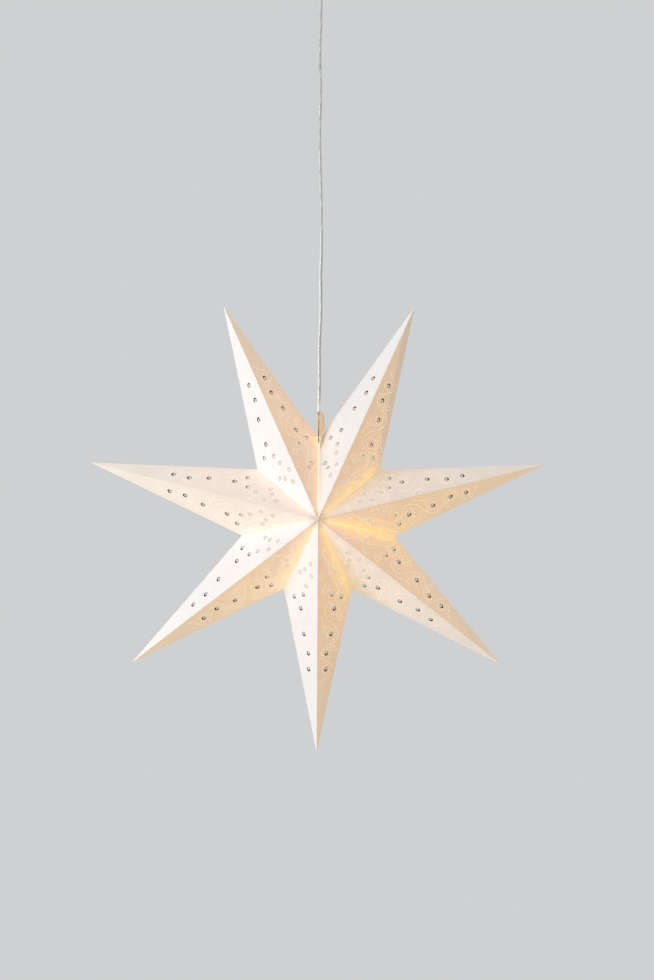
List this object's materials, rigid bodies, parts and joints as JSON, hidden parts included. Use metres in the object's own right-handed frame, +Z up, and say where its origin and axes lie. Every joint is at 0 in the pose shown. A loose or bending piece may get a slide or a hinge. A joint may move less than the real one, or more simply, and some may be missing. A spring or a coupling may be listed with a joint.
{
  "type": "paper star lantern",
  "caption": "Folded white card star with cut eyes, lit by a bulb inside, on a clear cord with lampholder, ceiling cup, hanging ring and hook plate.",
  "frame": {"origin": "centre of the ceiling plate's screw holes, in the plane of the ceiling", "axes": "+Z up into the ceiling, -Y the star's front, +X to the right seen from the front"},
  "size_m": [0.6006, 0.15, 1.128],
  "materials": {
    "plate_steel": "zinc-plated, satin",
    "hook_steel": "bright zinc",
    "screw_steel": "bright zinc",
    "white_nylon": "moulded, matt",
    "core_insulation": "pale insulation",
    "terminal_plastic": "natural nylon",
    "contact_brass": "plain brass",
    "cup_plastic": "moulded, half gloss",
    "screw_nylon": "moulded",
    "cord_clear_pvc": "clear soft PVC over pale cores",
    "holder_plastic": "white thermoplastic",
    "core_ceramic": "unglazed",
    "bulb_glass": "clear glass, lit",
    "bulb_brass": "nickelled brass",
    "insulator_black": "black glass",
    "tip_solder": "solder",
    "stem_glass": "clear glass",
    "wire_steel": "thin wire",
    "filament": "glowing",
    "star_card": "white uncoated card with cut eyes and pin-pricks",
    "flap_card": "white uncoated card",
    "tab_card": "white card, two layers",
    "hook_tape": "hook tape",
    "loop_tape": "loop tape"
  },
  "bodies": {
    "ceiling_fixing": {"ceiling_plate": "plate_steel", "ceiling_hook": "hook_steel", "hook_nut": "screw_steel"},
    "hanging_link": {"hanging_ring": "hook_steel"},
    "pendant": {"cord_hanger": "white_nylon", "clamp_bar": "white_nylon", "clamp_screws": "screw_steel", "supply_cores": "core_insulation", "terminal_block": "terminal_plastic", "terminal_sleeves": "contact_brass", "terminal_screws": "screw_steel", "cord": "cord_clear_pvc", "holder_cap": "holder_plastic", "cap_grip_screw": "screw_nylon", "holder_cores": "core_insulation", "holder_core_block": "core_ceramic", "holder_terminals": "contact_brass", "holder_terminal_screws": "screw_steel", "socket_sleeve": "contact_brass", "centre_contact": "contact_brass", "holder_skirt": "holder_plastic"},
    "cup": {"ceiling_cup": "cup_plastic", "cup_grip_screw": "screw_nylon"},
    "star": {"point_top_right": "star_card", "point_right": "star_card", "point_bottom_right": "star_card", "point_bottom": "star_card", "point_bottom_left": "star_card", "point_left": "star_card", "point_top_left": "star_card", "glue_flaps": "flap_card"},
    "left_tab": {"left_closing_tab": "tab_card", "hook_dots": "hook_tape"},
    "right_tab": {"right_closing_tab": "tab_card", "loop_dots": "loop_tape"},
    "bulb": {"bulb_glass": "bulb_glass", "bulb_screw_cap": "bulb_brass", "bulb_insulator": "insulator_black", "bulb_tip_contact": "tip_solder", "bulb_stem": "stem_glass", "bulb_support_wires": "wire_steel", "bulb_filament": "filament"}
  },
  "joints": [
    {"name": "ring_swing", "type": "hinge", "parent": "ceiling_fixing", "child": "hanging_link", "pos_m": [0, 0, -0.035], "axis": [1, 0, 0], "range_deg": [-5, 5]},
    {"name": "pendant_swing", "type": "hinge", "parent": "hanging_link", "child": "pendant", "pos_m": [0, 0, -0.04745], "axis": [0, 1, 0], "range_deg": [-5, 5]},
    {"name": "cup_slide", "type": "slide", "parent": "pendant", "child": "cup", "axis": [0, 0, -1], "range_m": [0, 0.06]},
    {"name": "star_turn", "type": "hinge", "parent": "pendant", "child": "star", "pos_m": [0, 0, -0.82], "axis": [0, 0, 1], "continuous": true},
    {"name": "left_tab_fold", "type": "hinge", "parent": "star", "child": "left_tab", "pos_m": [-0.0028, 0, -0.71162], "axis": [0, -1, 0], "range_deg": [0, 30]},
    {"name": "right_tab_fold", "type": "hinge", "parent": "star", "child": "right_tab", "pos_m": [0.0028, 0, -0.71162], "axis": [0, 1, 0], "range_deg": [0, 30]},
    {"name": "bulb_out", "type": "slide", "parent": "pendant", "child": "bulb", "axis": [0, 0, -1], "range_m": [0, 0.02]}
  ]
}
